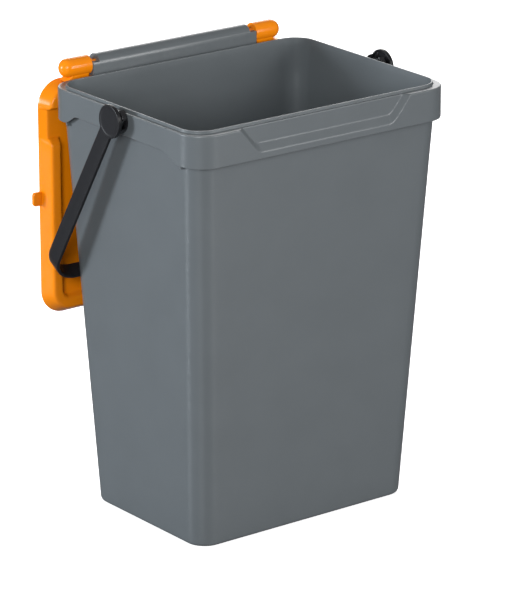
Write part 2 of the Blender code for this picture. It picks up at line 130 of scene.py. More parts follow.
# Lid, closed about the hinge axis with its front towards -Y
LID_WALL = 2.5
LID_REAR = 12.5
LID_REAR_RELIEF = 2.0
LID_FRONT = HINGE.y + RIM_Y + 1.5
LID_SEAT = HINGE.z - LEDGE_Z - GAP
LID_CREST = 8.5
LID_CREST_OUTER = 6.4
LID_CREST_INNER = 18.0
LID_PANEL = 22.0
LID_FRONT_EXTRA = 3.0
LID_NOTCH = (44.0, 77.0)
LID_NOTCH_SLOPE = 2.2
LUG_HALF = 8.0
LUG_THICK = 4.0
LUG_REACH = 9.8
LUG_WALL = 1.8
LUG_CORNER = 3.5
RIB_DEPTH = 4.0
RIB_THICK = 1.8

# Handle, hanging straight down from its pivots
STRAP = 4.0
STRAP_WIDTH = 20.0
STRAP_TOP = 1.7
HANDLE_LENGTH = 247.0
HANDLE_BEND = 38.0
FRAME_BEND = 30.0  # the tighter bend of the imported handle, whose end grip_lean() measures
ARM_X = RIM_X + 10.5
HUB_RADIUS = 18.8
HUB_OUTER = ARM_X + STRAP + 0.5
PIVOT_PIN = 3.6
PIVOT_BLIND = 2.6
PIVOT_HEAD = 5.5
PIVOT_HEAD_LENGTH = 1.2

# Collars
COLLAR_RADIUS = 15.5
COLLAR_FLANGE = 1.3
COLLAR_WINDOW = (-7.5, 2.5)

CORNER_STEPS = 14
TURN_STEPS = 72
BORE_PHASE = 0.37  # share of a turning step
OVERCUT = 1.0  # how far a cutter runs on past the face it opens


# Settings


class BinTubSettings(bpy.types.PropertyGroup):
    colour: FloatVectorProperty(
        name="Colour", description="Colour of the tub's moulded plastic", subtype="COLOR", size=3,
        min=0.0, max=1.0, default=(0.128, 0.143, 0.152),
    )
    roughness: FloatProperty(
        name="Roughness", description="Roughness of the tub's plastic", subtype="FACTOR",
        min=0.05, max=1.0, default=0.30,
    )
    recess_depth: FloatProperty(
        name="Recess depth", description="Depth of the finger recess in the front of the rim",
        unit="LENGTH", min=0.001, max=0.0065, default=0.006,
    )
    rim_round: FloatProperty(
        name="Rim rounding", description="Rounding of the rim's outer edge", unit="LENGTH",
        min=0.0003, max=0.003, default=0.0016,
    )
    lip_round: FloatProperty(
        name="Lip rounding", description="Rounding of the two edges of the lip", unit="LENGTH",
        min=0.0002, max=0.0009, default=0.0008,
    )


class BinLidSettings(bpy.types.PropertyGroup):
    colour: FloatVectorProperty(
        name="Colour", description="Colour of the lid's moulded plastic", subtype="COLOR", size=3,
        min=0.0, max=1.0, default=(1.0, 0.275, 0.002),
    )
    roughness: FloatProperty(
        name="Roughness", description="Roughness of the lid's plastic", subtype="FACTOR",
        min=0.05, max=1.0, default=0.22,
    )
    crest_round: FloatProperty(
        name="Crest rounding", description="Rounding of the raised border's edges", unit="LENGTH",
        min=0.0005, max=0.004, default=0.003,
    )
    rib_count: IntProperty(
        name="Ribs", description="Number of ribs across the lid's underside", min=2, max=9, default=5,
    )
    web_count: IntProperty(
        name="Webs", description="Number of webs round the underside of the border",
        min=8, max=80, default=36,
    )


class BinHandleSettings(bpy.types.PropertyGroup):
    colour: FloatVectorProperty(
        name="Colour", description="Colour of the handle's moulded plastic", subtype="COLOR", size=3,
        min=0.0, max=1.0, default=(0.012, 0.012, 0.014),
    )
    roughness: FloatProperty(
        name="Roughness", description="Roughness of the handle's plastic", subtype="FACTOR",
        min=0.05, max=1.0, default=0.36,
    )
    strap_round: FloatProperty(
        name="Strap rounding", description="Rounding of the strap's long edges", unit="LENGTH",
        min=0.0003, max=0.0019, default=0.0013,
    )
    spoke_count: IntProperty(
        name="Spokes", description="Number of spokes on each hub's inner face", min=3, max=12, default=6,
    )


class BinStudioSettings(bpy.types.PropertyGroup):
    azimuth: FloatProperty(
        name="Azimuth", description="Camera's turn round the bin from straight in front, in degrees",
        default=-37.55,
    )
    elevation: FloatProperty(
        name="Elevation", description="Camera's angle above the floor, in degrees", default=18.6,
    )
    distance: FloatProperty(
        name="Distance", description="Camera's distance from the point it looks at", unit="LENGTH",
        min=1.0, default=4.4642,
    )
    lens: FloatProperty(
        name="Lens", description="Focal length in millimetres on a 36 mm sensor", min=20.0, default=237.1,
    )
    key_power: FloatProperty(
        name="Key light", description="Power that the lights share, in watts", min=0.0, default=110.0,
    )
    sky: FloatProperty(
        name="Surroundings", description="Strength of the light from all round", min=0.0, default=0.25,
    )
    gleam: FloatProperty(
        name="Gleam", description="Strength of the surroundings in reflections", min=0.0, default=0.12,
    )
    floor_glow: FloatProperty(
        name="Floor glow", description="How far the floor is lifted towards white for the camera",
        min=0.0, default=0.7,
    )


# Shapes


def smooth_ramp(share, rounding):
    """0 below 0, 1 above 1 and straight between, with both bends rounded."""
    if share > 0.5:
        return 1.0 - smooth_ramp(1.0 - share, rounding)
    if share <= -rounding:
        return 0.0
    if share < rounding:
        return (share + rounding) ** 2 / (4.0 * rounding)
    return share


def smooth_min(first, second, width):
    """The smaller of two values, rounded where they are within a width of each other."""
    near = max(width - abs(first - second), 0.0) / width
    return min(first, second) - near * near * width / 4.0


def mix(low, high, share):
    return low + (high - low) * share


def eased(stations, steps=5):
    """A path through stations of (values, rounding, rows to the next), with its corners rounded.

    The first two values are the place across and the height, in millimetres, which the rounding follows.
    """
    path = []
    values = [np.array(station[0], float) for station in stations]
    for index, (point, (_, rounding, rows)) in enumerate(zip(values, stations)):
        inner = 0 < index < len(values) - 1 and rounding > 0.0
        if inner:
            ends = []
            for other in (values[index - 1], values[index + 1]):
                leg = other - point
                length = max(float(np.hypot(leg[0], leg[1])), 1e-6)
                ends.append(point + leg * min(rounding / length, 0.48))
            for step in range(steps + 1):
                t = step / steps
                path.append(ends[0] * (1 - t) ** 2 + point * 2 * t * (1 - t) + ends[1] * t * t)
        else:
            path.append(point)
        if rows > 1 and index < len(values) - 1:
            start, following = path[-1], values[index + 1]
            leg = following - point
            length = max(float(np.hypot(leg[0], leg[1])), 1e-6)
            stop = following - leg * min(stations[index + 1][1] / length, 0.48)
            path += [mix(start, stop, row / rows) for row in range(1, rows)]
    return path


def spaced(half, fine_zones, fine, coarse):
    """Shares from -1 to 1 along a straight run of a half length, closer together in the fine zones."""
    places = []
    place = 0.0
    while True:
        close = any(low <= place < high for low, high in fine_zones)
        place += fine if close else coarse
        if place > half - fine:
            break
        places.append(place / half)
    return [-share for share in reversed(places)] + [0.0] + places


def ring(half_x, low_y, high_y, radius, columns, steps=CORNER_STEPS):
    """Points of a rounded rectangle, anticlockwise from its front right corner."""
    side, rear, front = columns
    middle, run_x, run_y = (low_y + high_y) / 2, half_x - radius, (high_y - low_y) / 2 - radius
    corners = (
        (run_x, middle - run_y, -90.0),
        (run_x, middle + run_y, 0.0),
        (-run_x, middle + run_y, 90.0),
        (-run_x, middle - run_y, 180.0),
    )
    runs = (
        [(half_x, middle + run_y * share) for share in side],
        [(run_x * share, high_y) for share in reversed(rear)],
        [(-half_x, middle + run_y * share) for share in reversed(side)],
        [(run_x * share, low_y) for share in front],
    )
    points = []
    for (centre_x, centre_y, start), run in zip(corners, runs):
        for step in range(steps + 1):
            angle = math.radians(start + 90.0 * step / steps)
            points.append((centre_x + radius * math.cos(angle), centre_y + radius * math.sin(angle)))
        points += run
    return points


def to_object(name, mesh, place=None):
    made = bpy.data.objects.new(name, mesh)
    bpy.context.scene.collection.objects.link(made)
    if place is not None:
        mesh.transform(place)
    return made


def loft(name, rings, place=None):
    """A closed skin through rings of points in millimetres, capped at both ends, facing outwards."""
    count = len(rings[0])
    points = [tuple(value * MM for value in point) for loop in rings for point in loop]
    faces = []
    for level in range(len(rings) - 1):
        base = level * count
        for index in range(count):
            after = (index + 1) % count
            faces.append((base + index, base + after, base + count + after, base + count + index))
    faces.append(tuple(reversed(range(count))))
    faces.append(tuple(range((len(rings) - 1) * count, len(rings) * count)))
    mesh = bpy.data.meshes.new(name)
    mesh.from_pydata(points, [], faces)
    face_outwards(mesh)
    return to_object(name, mesh, place)


def face_outwards(mesh):
    """Joins doubled points and turns every face outwards."""
    body = bmesh.new()
    body.from_mesh(mesh)
    bmesh.ops.remove_doubles(body, verts=body.verts, dist=1e-7)
    bmesh.ops.recalc_face_normals(body, faces=body.faces)
    body.to_mesh(mesh)
    body.free()


def prism(name, points, axis, low, high, place=None):
    """A polygon extruded along an axis. Its points are (Y, Z) for X, (X, Z) for Y and (X, Y) for Z."""
    def spot(point, along):
        return {
            "X": (along, point[0], point[1]),
            "Y": (point[0], along, point[1]),
            "Z": (point[0], point[1], along),
        }[axis]

    return loft(name, [[spot(point, along) for point in points] for along in (low, high)], place)


def turned(name, stations, side=1.0, place=None, steps=TURN_STEPS):
    """A body turned about X from (X, radius, rounding) stations, closed by flat ends."""
    path = eased([((along, radius), rounding, 1) for along, radius, rounding in stations])
    angles = [math.tau * step / steps for step in range(steps)]
    rings = [
        [(side * along, radius * math.cos(angle), radius * math.sin(angle)) for angle in angles]
        for along, radius in path
    ]
    return loft(name, rings, place)


def combine(target, tool, operation):
    """Joins or cuts the target with a tool, which goes once the target is settled."""
    tool.hide_render = True
    tool.display_type = "WIRE"
    step = target.modifiers.new(tool.name, "BOOLEAN")
    step.operation = operation
    step.solver = "EXACT"
    step.object = tool


def bore(made, name, start, end, radius, side, place=None, phase=BORE_PHASE):
    """Cuts a round hole along X. The tool is turned by part of a step, so no corner meets a flat face."""
    turn = Matrix.Rotation(phase * math.tau / TURN_STEPS, 4, "X")
    stations = [(start, radius, 0.0), (end, radius, 0.0)]
    combine(made, turned(name, stations, side, turn if place is None else place @ turn), "DIFFERENCE")


def round_edges(made, width, segments=3, angle=35.0):
    step = made.modifiers.new("rounded edges", "BEVEL")
    step.width = width * MM
    step.segments = segments
    step.limit_method = "ANGLE"
    step.angle_limit = math.radians(angle)
    step.miter_outer = "MITER_ARC"
    return made


def settle(made):
    """Turns the object with its modifiers into a plain mesh, and removes the tools they used."""
    graph = bpy.context.evaluated_depsgraph_get()
    mesh = bpy.data.meshes.new_from_object(made.evaluated_get(graph))
    tools = [step.object for step in made.modifiers if step.type == "BOOLEAN"]
    made.modifiers.clear()
    made.data = mesh
    for tool in tools:
        bpy.data.objects.remove(tool)
    return made


def mark_surface(mesh):
    """Stores how sharply each vertex stands out, for edges paled as wear and painted highlight, and how far
    it faces up, for the dust.
    """
    shortest_leg, full_wear_and_highlight_radius = 0.2 * MM, 1.5 * MM
    count = len(mesh.vertices)
    places, normals = np.zeros(count * 3), np.zeros(count * 3)
    ends = np.zeros(len(mesh.edges) * 2, np.int64)
    mesh.vertices.foreach_get("co", places)
    mesh.vertices.foreach_get("normal", normals)
    mesh.edges.foreach_get("vertices", ends)
    places, normals, ends = places.reshape(-1, 3), normals.reshape(-1, 3), ends.reshape(-1, 2)
    sharpness = np.zeros(count)
    for here, there in ((0, 1), (1, 0)):
        leg = places[ends[:, here]] - places[ends[:, there]]
        length = np.maximum((leg * leg).sum(1), shortest_leg ** 2)
        bend = (normals[ends[:, here]] * leg).sum(1) / length * 2.0
        np.maximum.at(sharpness, ends[:, here], bend)
    values = {
        # edge: sharp edges, later paled partly as rubbed wear and partly as a painted highlight
        "edge": np.clip(sharpness * full_wear_and_highlight_radius, 0.0, 1.0),
        "shelf": np.clip(normals[:, 2], 0.0, 1.0),
    }
    for name, value in values.items():
        stored = mesh.attributes.get(name) or mesh.attributes.new(name, "FLOAT", "POINT")
        stored.data.foreach_set("value", value.astype(np.float32))


def complete(made, finish, body, nodes=(), sharp=34.0):
    """Welds, checks and shades a settled piece, and ties it with its finish to its body in the frame."""
    mesh = made.data
    body_mesh = bmesh.new()
    body_mesh.from_mesh(mesh)
    bmesh.ops.remove_doubles(body_mesh, verts=body_mesh.verts, dist=WELD)
    bmesh.ops.dissolve_degenerate(body_mesh, dist=WELD, edges=body_mesh.edges)
    open_edges = sum(not edge.is_manifold for edge in body_mesh.edges)
    body_mesh.to_mesh(mesh)
    body_mesh.free()
    if open_edges:
        raise RuntimeError(f"{made.name} has {open_edges} open edges")
    mesh.shade_smooth()
    mesh.set_sharp_from_angle(angle=math.radians(sharp))
    mark_surface(mesh)
    mesh.materials.clear()
    mesh.materials.append(finish)
    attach(made, body)
    if nodes:
        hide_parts(*nodes)


# Tub


def wall_half_width(z):
    if z <= SKIRT_Z:
        return mix(BASE_X, SHOULDER_X, z / SKIRT_Z)
    return mix(SHOULDER_X, LIP_X, (z - SKIRT_Z) / (HEIGHT - SKIRT_Z))


def side_rise(y):
    """How far the skirt's lower edge is raised along the middle of each side."""
    flat, end = SIDE_RISE_REAR if y > 0.0 else SIDE_RISE_FRONT
    return SIDE_RISE * smooth_ramp((end - abs(y)) / (end - flat), 0.3 if y > 0.0 else 0.16)


def recess_push(x, z, depth):
    """How far the front of the rim is set back in the finger recess, a trapezium open at its top."""
    slope = (RECESS_TOP - RECESS_BOTTOM) / RECESS_DROP
    side = (RECESS_TOP - slope * (LEDGE_Z - z) - abs(x)) / RECESS_SIDE_BEVEL
    low = (z - LEDGE_Z + RECESS_DROP) / RECESS_LOW_BEVEL
    return depth * smooth_ramp(smooth_min(side, low, 0.9), 0.11)


def tub_skin(sizes):
    """The tub's wall, floor, lip, ledge and skirt in one skin, from under the base round to its floor.

    A station's values are half depth, height, half width, corner radius, the share of the side's rise
    and the share of the recess.
    """
    inner_radius = WALL_RADIUS - WALL
    under_z = LEDGE_Z - LEDGE_THICK
    under_x = wall_half_width(under_z)
    under_y = mix(SHOULDER_Y, LIP_Y, (under_z - SKIRT_Z) / (HEIGHT - SKIRT_Z))
    in_x, in_y, in_radius = RIM_X - SKIRT, RIM_Y - SKIRT, RIM_RADIUS - SKIRT
    foot = FOOT_WIDTH
    rim_round, lip_round = sizes.rim_round / MM, sizes.lip_round / MM
    deep = 22.0
    path = eased([
        ((BASE_Y - 2 * foot, FOOT_RISE, BASE_X - 2 * foot, 8.0, 0, 0), 0.0, 1),
        ((BASE_Y - foot - 1.0, FOOT_RISE, BASE_X - foot - 1.0, 11.0, 0, 0), 0.4, 1),
        ((BASE_Y - foot, 0.0, BASE_X - foot, 12.0, 0, 0), 0.5, 1),
        ((BASE_Y, 0.0, BASE_X, WALL_RADIUS, 0, 0), 5.0, 14),
        ((SHOULDER_Y, SKIRT_Z, SHOULDER_X, WALL_RADIUS, 0, 0), 2.0, 4),
        ((under_y, under_z, under_x, WALL_RADIUS, 0, 0), 1.2, 2),
        ((in_y, under_z, in_x, in_radius, 0, 0.9), 1.0, 24),
        ((in_y, SKIRT_Z, in_x, in_radius, 1, 0.9), 0.9, 1),
        ((RIM_Y, SKIRT_Z, RIM_X, RIM_RADIUS, 1, 1), 1.0, 44),
        ((RIM_Y, LEDGE_Z, RIM_X, RIM_RADIUS, 0, 1), rim_round, 3),
        ((LIP_Y, LEDGE_Z, LIP_X, LIP_RADIUS, 0, 0), 1.0, 1),
        ((LIP_Y, HEIGHT, LIP_X, LIP_RADIUS, 0, 0), lip_round, 1),
        ((LIP_Y - LIP, HEIGHT, LIP_X - LIP, LIP_RADIUS - LIP, 0, 0), lip_round, 4),
        ((SHOULDER_Y - WALL, SKIRT_Z, SHOULDER_X - WALL, inner_radius, 0, 0), 6.0, 14),
        ((BASE_Y - WALL, FLOOR, BASE_X - WALL, inner_radius, 0, 0), 7.0, 1),
        ((BASE_Y - deep, FLOOR, BASE_X - deep, inner_radius - 12.0, 0, 0), 0.0, 1),
    ])
    side = spaced(RIM_Y - RIM_RADIUS, [(70.0, 108.0)], 1.0, 6.0)
    front = spaced(RIM_X - RIM_RADIUS, [(82.0, 123.0)], 0.8, 6.0)
    rear = spaced(RIM_X - RIM_RADIUS, [], 1.0, 8.0)
    depth = sizes.recess_depth / MM
    rings = []
    for half_y, z, half_x, radius, rise, push in path:
        loop = []
        for x, y in ring(half_x, -half_y, half_y, radius, (side, rear, front)):
            height = z + rise * side_rise(y) if rise else z
            if push and y < 0.0 and abs(x) < RIM_X - RIM_RADIUS:
                y += push * recess_push(x, z, depth)
            loop.append((x, y, height))
        rings.append(loop)
    return loft("tub_body", rings)


def bar_section():
    """Section of the hinge bar: round about the hinge axis, with a flat front and a web to the rim."""
    web_z = HINGE.z - BAR_WEB_DROP
    points = [(HINGE.y - BAR_RADIUS, web_z)]
    for step in range(37):
        angle = mix(math.pi, -math.pi / 2, step / 36)
        points.append((HINGE.y + BAR_RADIUS * math.cos(angle), HINGE.z + BAR_RADIUS * math.sin(angle)))
    points.append((HINGE.y - BAR_WEB_BACK, web_z))
    return points


def gusset(side, end):
    """A rib in the channel between the wall and the skirt, where the skirt's edge steps down."""
    low, high = SKIRT_Z - GUSSET_DROP, LEDGE_Z - LEDGE_THICK / 2
    bite = WALL / 2
    skirt_in = RIM_X - SKIRT
    points = [
        (side * (wall_half_width(low) - bite), low),
        (side * (skirt_in - 1.2), low),
        (side * (skirt_in - 0.2), low + 1.0),
        (side * (skirt_in - 0.2), SKIRT_Z + 1.0),
        (side * (skirt_in + SKIRT / 2), SKIRT_Z + 1.0),
        (side * (skirt_in + SKIRT / 2), high),
        (side * (wall_half_width(high) - LIP / 2), high),
        (side * (wall_half_width(SKIRT_Z) - bite), SKIRT_Z),
    ]
    middle = end * GUSSET_Y
    return prism(f"gusset_{side:+.0f}_{end:+.0f}", points, "Y", middle - GUSSET / 2, middle + GUSSET / 2)


def tub_body(sizes):
    """The tub with its hinge bar, gussets, side bosses and bores."""
    made = tub_skin(sizes)
    bar = prism("hinge_bar", bar_section(), "X", -BAR_HALF, BAR_HALF)
    combine(made, round_edges(bar, 0.9), "UNION")
    hinge, pivot = Matrix.Translation(HINGE * MM), Matrix.Translation(PIVOT * MM)
    for side in (-1.0, 1.0):
        for end in (-1.0, 1.0):
            combine(made, gusset(side, end), "UNION")
        stations = [(RIM_X - SKIRT / 2, BOSS_RADIUS, 0.0), (BOSS_END, BOSS_RADIUS, 0.7), (BOSS_END, 1.0, 0.0)]
        combine(made, turned(f"boss_{side:+.0f}", stations, side, pivot), "UNION")
        ends = RIM_X - 2 * SKIRT, BOSS_END + OVERCUT
        bore(made, f"boss_bore_{side:+.0f}", *ends, PIVOT_PIN + GAP, side, pivot)
        ends = BAR_HALF - PIN_IN_BAR - GAP, BAR_HALF + OVERCUT
        bore(made, f"pin_bore_{side:+.0f}", *ends, PIN_RADIUS + GAP, side, hinge)
        reach, floor = BAR_RADIUS + 2 * OVERCUT, BAR_NOTCH_FLOOR
        section = [(-reach, floor), (reach, floor), (reach, reach), (-reach, reach)]
        ends = side * (BAR_HALF - BAR_NOTCH), side * (BAR_HALF + OVERCUT)
        notch = prism(f"notch_{side:+.0f}", section, "X", *ends, place=hinge)
        combine(made, round_edges(notch, 0.8), "DIFFERENCE")
    return settle(made)


# Lid


def lid_notch(y):
    """1 in the notch through the raised border on each side, 0 outside it."""
    near, far = LID_NOTCH
    inside = min(-near - y, y + far) / LID_NOTCH_SLOPE
    return smooth_ramp(inside + 1.0, 0.35)


def lid_loop(inset, front_extra, height, dip, columns):
    """One loop of the lid's skin, set back behind the knuckles' bar and lowered in the side notches."""
    half_x = RIM_X - inset
    low_y, high_y = inset + front_extra - LID_FRONT, -LID_REAR - inset
    relief_end = BAR_HALF + 2.0
    loop = []
    for x, y in ring(half_x, low_y, high_y, max(RIM_RADIUS - inset, 8.0), columns):
        z = height
        if y > high_y - 1e-3:
            y -= LID_REAR_RELIEF * smooth_ramp((relief_end - abs(x)) / 3.0, 0.2)
        elif dip and abs(x) > half_x - 1e-3:
            z -= dip * LID_CREST * lid_notch(y)
        loop.append((x, y, z))
    return loop


def lid_skin(sizes):
    """A shallow tray: a sloped outer wall, a raised border and a sunken panel, all one wall thick.

    A station's values are the inset, the height, the extra inset at the front and the share of the dip.
    """
    wall, extra, crest = LID_WALL, LID_FRONT_EXTRA, sizes.crest_round / MM
    deep = LID_PANEL + 2 * LID_CREST_INNER
    path = eased([
        ((deep, -wall, extra, 0), 0.0, 1),
        ((LID_PANEL + wall, -wall, extra, 0), 2.0, 3),
        ((LID_CREST_INNER - wall / 2, LID_CREST - wall, extra, 1), 1.5, 2),
        ((LID_CREST_OUTER + wall, LID_CREST - wall, extra, 1), 1.5, 5),
        ((wall, -LID_SEAT, 0, 0), 0.6, 1),
        ((0.0, -LID_SEAT, 0, 0), 0.9, 8),
        ((LID_CREST_OUTER, LID_CREST, extra, 1), crest, 3),
        ((LID_CREST_INNER, LID_CREST, extra, 1), crest, 4),
        ((LID_PANEL, 0.0, extra, 0), 2.2, 2),
        ((deep, 0.0, extra, 0), 0.0, 1),
    ], steps=7)
    run = (LID_FRONT - LID_REAR) / 2 - RIM_RADIUS
    offset = (LID_FRONT + LID_REAR) / 2
    near, far = LID_NOTCH
    zone = (offset - far - 7.0, offset - near + 7.0)
    side = spaced(run, [zone], 0.8, 6.0)
    rear = spaced(RIM_X - RIM_RADIUS, [(111.0, 120.0)], 0.8, 8.0)
    front = spaced(RIM_X - RIM_RADIUS, [], 1.0, 8.0)
    columns = (side, rear, front)
    return loft("lid_body", [lid_loop(inset, extra, z, dip, columns) for inset, z, extra, dip in path])


def neck(side):
    """The web between a knuckle and the lid's rear wall, flared towards the lid."""
    start = KNUCKLE_START + 2.0
    rings = []
    for y, outer, low, high in (
        (-2.0, 24.0, -7.0, 7.2),
        (-7.0, 25.5, -8.0, 7.6),
        (-11.0, 28.5, -9.0, 7.4),
        (-LID_REAR - 1.6, 33.0, -9.6, 6.0),
    ):
        half, middle = (KNUCKLE_START + outer - start) / 2, (KNUCKLE_START + outer + start) / 2
        points = ring(half, low, high, 2.5, ([0.0], [0.0], [0.0]), steps=5)
        rings.append([(side * (middle + x), y, z) for x, z in points])
    return loft(f"neck_{side:+.0f}", rings)


def lug(side):
    """The tab on the lid's side edge that comes down in the slot of the collar: a small hollow hood."""
    low = -LID_SEAT
    inner, outer = RIM_X - LID_WALL / 2, RIM_X + LUG_REACH
    middle = PIVOT.y - HINGE.y
    points = [(inner, middle - LUG_HALF)]
    for turn, sign in ((-90.0, -1.0), (0.0, 1.0)):
        for step in range(7):
            angle = math.radians(turn + 90.0 * step / 6)
            x = outer - LUG_CORNER + LUG_CORNER * math.cos(angle)
            y = middle + sign * (LUG_HALF - LUG_CORNER) + LUG_CORNER * math.sin(angle)
            points.append((x, y))
    points.append((inner, middle + LUG_HALF))
    made = prism(f"lug_{side:+.0f}", [(side * x, y) for x, y in points], "Z", low, low + LUG_THICK)
    round_edges(made, 0.6)
    half = LUG_HALF - LUG_WALL
    arch = [(-half, -1.0), (half, -1.0)]
    for step in range(13):
        angle = math.radians(180.0 * step / 12)
        arch.append((half * math.cos(angle), 0.6 + (LUG_THICK - 2.2) * math.sin(angle)))
    points = [(middle + y, low + z) for y, z in arch]
    ends = side * (inner + LID_WALL), side * (outer - LUG_WALL)
    combine(made, prism(f"lug_hollow_{side:+.0f}", points, "X", *ends), "DIFFERENCE")
    return settle(made)


def lid_body(sizes):
    """The lid in its closed place, with its knuckles, their necks and bores, and its lugs."""
    made = lid_skin(sizes)
    for side in (-1.0, 1.0):
        shoulder = KNUCKLE_START + KNUCKLE_LENGTH - KNUCKLE_RADIUS
        stations = [(KNUCKLE_START, 1.0, 0.0), (KNUCKLE_START, KNUCKLE_RADIUS, 1.0)]
        for step in range(13):
            angle = math.pi / 2 * step / 12
            radius = max(KNUCKLE_RADIUS * math.cos(angle), 0.05)
            stations.append((shoulder + KNUCKLE_RADIUS * math.sin(angle), radius, 0.0))
        combine(made, turned(f"knuckle_{side:+.0f}", stations, side), "UNION")
        combine(made, neck(side), "UNION")
        combine(made, lug(side), "UNION")
        ends = KNUCKLE_START - OVERCUT, KNUCKLE_START + PIN_IN_KNUCKLE + GAP
        bore(made, f"knuckle_bore_{side:+.0f}", *ends, PIN_RADIUS + GAP, side)
    return settle(made)


def hang(made):
    """Moves a piece from its closed place about the hinge axis to where it hangs."""
    made.data.transform(Matrix.Translation(HINGE * MM) @ Matrix.Rotation(math.pi / 2, 4, "X"))


# Repeats made with Geometry Nodes


def node_tree(name, kind, inputs, outputs):
    """A node tree with its group input and output. Sockets are (name, type, default or None)."""
    tree = bpy.data.node_groups.new(name, kind)
    for direction, sockets in (("INPUT", inputs), ("OUTPUT", outputs)):
        for socket_name, socket_type, value in sockets:
            made = tree.interface.new_socket(socket_name, in_out=direction, socket_type=socket_type)
            if value is not None:
                made.default_value = value
    return tree, tree.nodes.new("NodeGroupInput"), tree.nodes.new("NodeGroupOutput")


def repeat_tree(name, scatter):
    """A tree that repeats a piece on the points that the scatter function makes, as one plain mesh."""
    tree, inside, outside = node_tree(name, "GeometryNodeTree", [
        ("Path", "NodeSocketGeometry", None),
        ("Piece", "NodeSocketObject", None),
        ("Count", "NodeSocketInt", 4),
        ("Step", "NodeSocketVector", (0.0, 0.01, 0.0)),
        ("Gap Middle", "NodeSocketFloat", 0.0),
        ("Gap Half", "NodeSocketFloat", -1.0),
        ("Finish", "NodeSocketMaterial", None),
    ], [("Mesh", "NodeSocketGeometry", None)])
    nodes, links = tree.nodes, tree.links
    points, rotation, chosen = scatter(tree, inside)
    piece = nodes.new("GeometryNodeObjectInfo")
    place = nodes.new("GeometryNodeInstanceOnPoints")
    real = nodes.new("GeometryNodeRealizeInstances")
    finish = nodes.new("GeometryNodeSetMaterial")
    links.new(inside.outputs["Piece"], piece.inputs["Object"])
    links.new(points, place.inputs["Points"])
    links.new(piece.outputs["Geometry"], place.inputs["Instance"])
    if rotation is not None:
        links.new(rotation, place.inputs["Rotation"])
        links.new(chosen, place.inputs["Selection"])
    links.new(place.outputs["Instances"], real.inputs["Geometry"])
    links.new(real.outputs["Geometry"], finish.inputs["Geometry"])
    links.new(inside.outputs["Finish"], finish.inputs["Material"])
    links.new(finish.outputs["Geometry"], outside.inputs["Mesh"])
    return tree


def scatter_in_row(tree, inside):
    row = tree.nodes.new("GeometryNodeMeshLine")
    row.mode = "OFFSET"
    tree.links.new(inside.outputs["Count"], row.inputs["Count"])
    tree.links.new(inside.outputs["Step"], row.inputs["Offset"])
    return row.outputs["Mesh"], None, None


def scatter_on_ring(tree, inside):
    """Even points on a closed path, turned to face along it, left out where Y is within the gap."""
    curve = tree.nodes.new("GeometryNodeMeshToCurve")
    even = tree.nodes.new("GeometryNodeResampleCurve")
    along = tree.nodes.new("GeometryNodeInputTangent")
    turn = tree.nodes.new("FunctionNodeAlignRotationToVector")
    turn.axis = "X"
    turn.pivot_axis = "Z"
    tree.links.new(inside.outputs["Path"], curve.inputs["Mesh"])
    tree.links.new(curve.outputs["Curve"], even.inputs["Curve"])
    tree.links.new(inside.outputs["Count"], even.inputs["Count"])
    tree.links.new(along.outputs["Tangent"], turn.inputs["Vector"])
    split = tree.nodes.new("ShaderNodeSeparateXYZ")
    tree.links.new(tree.nodes.new("GeometryNodeInputPosition").outputs["Position"], split.inputs["Vector"])
    value = split.outputs["Y"]
    for operation, other in (("SUBTRACT", "Gap Middle"), ("ABSOLUTE", None), ("GREATER_THAN", "Gap Half")):
        step = tree.nodes.new("ShaderNodeMath")
        step.operation = operation
        tree.links.new(value, step.inputs[0])
        if other is not None:
            tree.links.new(inside.outputs[other], step.inputs[1])
        value = step.outputs[0]
    return even.outputs["Curve"], turn.outputs["Rotation"], value


def repeated(name, tree, piece, count, finish, path=(), step=(0.0, 0.0, 0.0), gap=None, place=None):
    """Runs a repeat tree on a path of points in millimetres, and returns the result as a plain mesh."""
    mesh = bpy.data.meshes.new(name)
    links = [(index, (index + 1) % len(path)) for index in range(len(path))]
    mesh.from_pydata([tuple(value * MM for value in point) for point in path], links, [])
    made = to_object(name, mesh)
    modifier = made.modifiers.new("repeat", "NODES")
    modifier.node_group = tree
    sockets = {item.name: item.identifier for item in tree.interface.items_tree if item.in_out == "INPUT"}
    modifier[sockets["Piece"]] = piece
    modifier[sockets["Count"]] = count
    modifier[sockets["Step"]] = tuple(value * MM for value in step)
    modifier[sockets["Finish"]] = finish
    if gap is not None:
        low, high = gap
        modifier[sockets["Gap Middle"]] = (low + high) / 2 * MM
        modifier[sockets["Gap Half"]] = (high - low) / 2 * MM
    settle(made)
    bpy.data.objects.remove(piece)
    if not made.data.polygons:
        raise RuntimeError(f"{name} came out empty")
    if place is not None:
        made.data.transform(place)
    return made


def lid_rib(length, height, thickness, along):
    """One rib standing below the panel, thinner at its free edge, along X or along Y."""
    half, thin = length / 2, thickness / 2
    section = [(-thin, 0.4), (thin, 0.4), (thin * 0.6, -height), (-thin * 0.6, -height)]
    made = prism("rib", section, along, -half, half)
    round_edges(made, 0.4, segments=2)
    return settle(made)


def border_web():
    """One web between the border's outer wall and its crest, seen from below."""
    top, low = LID_CREST - LID_WALL + 0.3, -LID_SEAT + 4.0
    slope_in = LID_CREST_OUTER / (LID_SEAT + LID_CREST)
    wall_low = LID_WALL + slope_in * 3.0
    points = [
        (-wall_low + 0.6, low),
        (-wall_low - 1.2, low),
        (-LID_CREST_INNER + 2.2, top - 2.5),
        (-LID_CREST_INNER + 2.2, top),
        (-LID_CREST_OUTER - 2.0, top),
    ]
    points = [(-y, z) for y, z in points]
    return prism("web", points, "X", -0.8, 0.8)


# Handle


